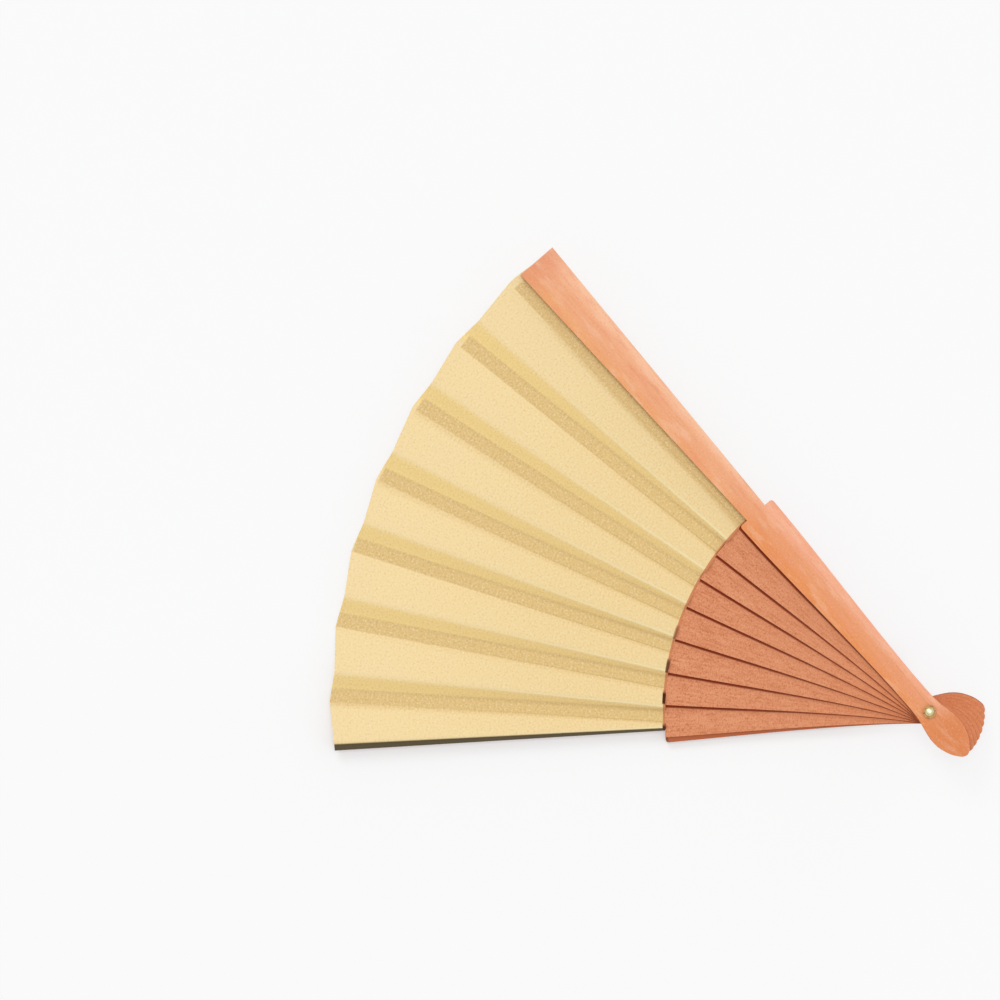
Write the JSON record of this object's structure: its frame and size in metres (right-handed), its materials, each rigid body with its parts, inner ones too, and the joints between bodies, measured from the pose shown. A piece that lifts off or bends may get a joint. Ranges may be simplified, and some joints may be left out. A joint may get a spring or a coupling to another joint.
{
  "type": "folding hand fan",
  "caption": "Folding hand fan, partly open and lying flat: tapered wooden sticks turn on a brass rivet and spread a pleated cloth leaf.",
  "frame": {"origin": "on the rivet's axis, at the underside of the rear guard", "axes": "+Z along the rivet towards the front guard, -X out along the rear guard, +Y to the side the fan opens to"},
  "size_m": [0.2308, 0.1788, 0.018],
  "materials": {
    "guard_wood": "smooth pinkish orange wood, fine grain along the stick",
    "rib_wood": "thin terracotta wood, fine grain along the stick",
    "leaf_cloth": "matt cream cloth in pleats",
    "rivet_brass": "polished",
    "washer_brass": "dull, darker"
  },
  "bodies": {
    "rear_guard": {"rear_guard": "guard_wood", "rivet": "rivet_brass", "rear_washer": "washer_brass", "front_washer": "washer_brass", "leaf_8": "leaf_cloth"},
    "rib_7": {"rib_7": "rib_wood", "leaf_7": "leaf_cloth"},
    "rib_6": {"rib_6": "rib_wood", "leaf_6": "leaf_cloth"},
    "rib_5": {"rib_5": "rib_wood", "leaf_5": "leaf_cloth"},
    "rib_4": {"rib_4": "rib_wood", "leaf_4": "leaf_cloth"},
    "rib_3": {"rib_3": "rib_wood", "leaf_3": "leaf_cloth"},
    "rib_2": {"rib_2": "rib_wood", "leaf_2": "leaf_cloth"},
    "rib_1": {"rib_1": "rib_wood", "leaf_1": "leaf_cloth"},
    "front_guard": {"front_guard": "guard_wood"}
  },
  "joints": [
    {"name": "rib_7_turn", "type": "hinge", "parent": "rear_guard", "child": "rib_7", "pos_m": [0, 0, 0], "axis": [0, 0, -1], "range_deg": [-3.15, 0.18], "deforming": ["leaf_8"]},
    {"name": "rib_6_turn", "type": "hinge", "parent": "rib_7", "child": "rib_6", "pos_m": [0, 0, 0], "axis": [0, 0, -1], "range_deg": [-7.1, 0.4], "deforming": ["leaf_7"]},
    {"name": "rib_5_turn", "type": "hinge", "parent": "rib_6", "child": "rib_5", "pos_m": [0, 0, 0], "axis": [0, 0, -1], "range_deg": [-7.1, 0.4], "deforming": ["leaf_6"]},
    {"name": "rib_4_turn", "type": "hinge", "parent": "rib_5", "child": "rib_4", "pos_m": [0, 0, 0], "axis": [0, 0, -1], "range_deg": [-7.5, 0.42], "deforming": ["leaf_5"]},
    {"name": "rib_3_turn", "type": "hinge", "parent": "rib_4", "child": "rib_3", "pos_m": [0, 0, 0], "axis": [0, 0, -1], "range_deg": [-7.5, 0.42], "deforming": ["leaf_4"]},
    {"name": "rib_2_turn", "type": "hinge", "parent": "rib_3", "child": "rib_2", "pos_m": [0, 0, 0], "axis": [0, 0, -1], "range_deg": [-7.3, 0.41], "deforming": ["leaf_3"]},
    {"name": "rib_1_turn", "type": "hinge", "parent": "rib_2", "child": "rib_1", "pos_m": [0, 0, 0], "axis": [0, 0, -1], "range_deg": [-7.1, 0.4], "deforming": ["leaf_2"]},
    {"name": "front_guard_turn", "type": "hinge", "parent": "rib_1", "child": "front_guard", "pos_m": [0, 0, 0], "axis": [0, 0, -1], "range_deg": [-4.5, 0.25], "deforming": ["leaf_1"]}
  ],
  "couplings": [
    {"joint": "rib_7_turn", "follows": "rib_6_turn", "ratio": 0.44366},
    {"joint": "rib_5_turn", "follows": "rib_6_turn", "ratio": 1},
    {"joint": "rib_4_turn", "follows": "rib_6_turn", "ratio": 1.0563},
    {"joint": "rib_3_turn", "follows": "rib_6_turn", "ratio": 1.0563},
    {"joint": "rib_2_turn", "follows": "rib_6_turn", "ratio": 1.0281},
    {"joint": "rib_1_turn", "follows": "rib_6_turn", "ratio": 1},
    {"joint": "front_guard_turn", "follows": "rib_6_turn", "ratio": 0.6338}
  ]
}
